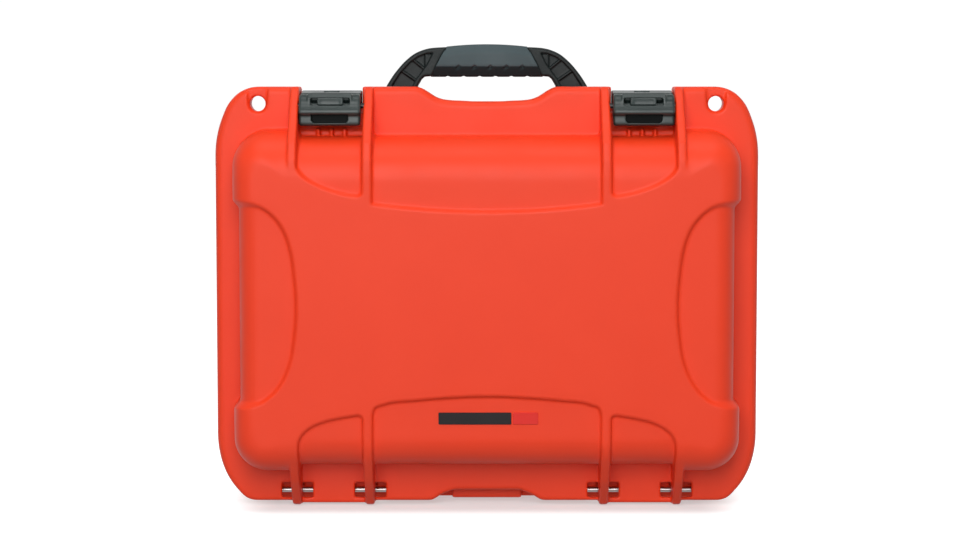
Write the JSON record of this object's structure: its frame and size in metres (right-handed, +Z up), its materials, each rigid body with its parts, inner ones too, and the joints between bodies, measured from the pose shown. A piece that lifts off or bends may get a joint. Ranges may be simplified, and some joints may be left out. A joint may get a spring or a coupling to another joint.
{
  "type": "hard equipment case",
  "caption": "Hinged hard plastic equipment case on its hinge side: ribbed lid and deep base, lever latches, folding carry handle, padlock eyes, seal and pressure valve.",
  "frame": {"origin": "centre of the overall box in X and Y, at the underside of the hinge-side feet", "axes": "+Z up with the case standing on its hinge side, +X along its width, the lid faces -Y and the base's back faces +Y"},
  "size_m": [0.4318, 0.236, 0.3679],
  "materials": {
    "shell_orange": "fine moulded texture, satin",
    "latch_black": "satin",
    "handle_black": "satin",
    "grip_grey": "soft matte",
    "seal_black": "matte",
    "pin_steel": "bright drawn",
    "plate_dark": "printed, blank",
    "plate_red": "printed, blank",
    "valve_black": "satin",
    "membrane_white": "matte"
  },
  "bodies": {
    "base": {"base_shell": "shell_orange", "hinge_pins": "pin_steel", "handle_pins": "pin_steel", "valve_body": "valve_black", "valve_membrane": "membrane_white", "valve_cap": "valve_black", "valve_oring": "seal_black", "valve_nut": "valve_black"},
    "lid": {"lid_shell": "shell_orange", "lid_gasket": "seal_black", "nameplate_dark": "plate_dark", "nameplate_red": "plate_red", "latch_pins": "pin_steel"},
    "lever_left": {"latch_body_left": "latch_black", "latch_claw_pin_left": "pin_steel"},
    "lever_right": {"latch_body_right": "latch_black", "latch_claw_pin_right": "pin_steel"},
    "claw_left": {"latch_claw_left": "latch_black"},
    "claw_right": {"latch_claw_right": "latch_black"},
    "slide_left": {"latch_slide_left": "latch_black"},
    "slide_right": {"latch_slide_right": "latch_black"},
    "handle": {"handle_frame": "handle_black", "handle_grip": "grip_grey"}
  },
  "joints": [
    {"name": "lid_hinge", "type": "hinge", "parent": "base", "child": "lid", "pos_m": [0, -0.058, 0.0096], "axis": [1, 0, 0], "range_deg": [0, 95]},
    {"name": "latch_lever_left", "type": "hinge", "parent": "lid", "child": "lever_left", "pos_m": [-0.1234, -0.082, 0.319], "axis": [-1, 0, 0], "range_deg": [0, 80]},
    {"name": "latch_lever_right", "type": "hinge", "parent": "lid", "child": "lever_right", "pos_m": [0.1234, -0.082, 0.319], "axis": [-1, 0, 0], "range_deg": [0, 80]},
    {"name": "latch_claw_left", "type": "hinge", "parent": "lever_left", "child": "claw_left", "pos_m": [-0.1234, -0.082, 0.3246], "axis": [1, 0, 0], "range_deg": [0, 80]},
    {"name": "latch_claw_right", "type": "hinge", "parent": "lever_right", "child": "claw_right", "pos_m": [0.1234, -0.082, 0.3246], "axis": [1, 0, 0], "range_deg": [0, 80]},
    {"name": "latch_slide_left", "type": "slide", "parent": "lever_left", "child": "slide_left", "axis": [1, 0, 0], "range_m": [-0.004, 0.004]},
    {"name": "latch_slide_right", "type": "slide", "parent": "lever_right", "child": "slide_right", "axis": [1, 0, 0], "range_m": [-0.004, 0.004]},
    {"name": "handle_fold", "type": "hinge", "parent": "base", "child": "handle", "pos_m": [0, -0.032, 0.312], "axis": [-1, 0, 0], "range_deg": [0, 90]}
  ],
  "couplings": [
    {"joint": "latch_claw_left", "follows": "latch_lever_left", "ratio": 1},
    {"joint": "latch_claw_right", "follows": "latch_lever_right", "ratio": 1}
  ]
}
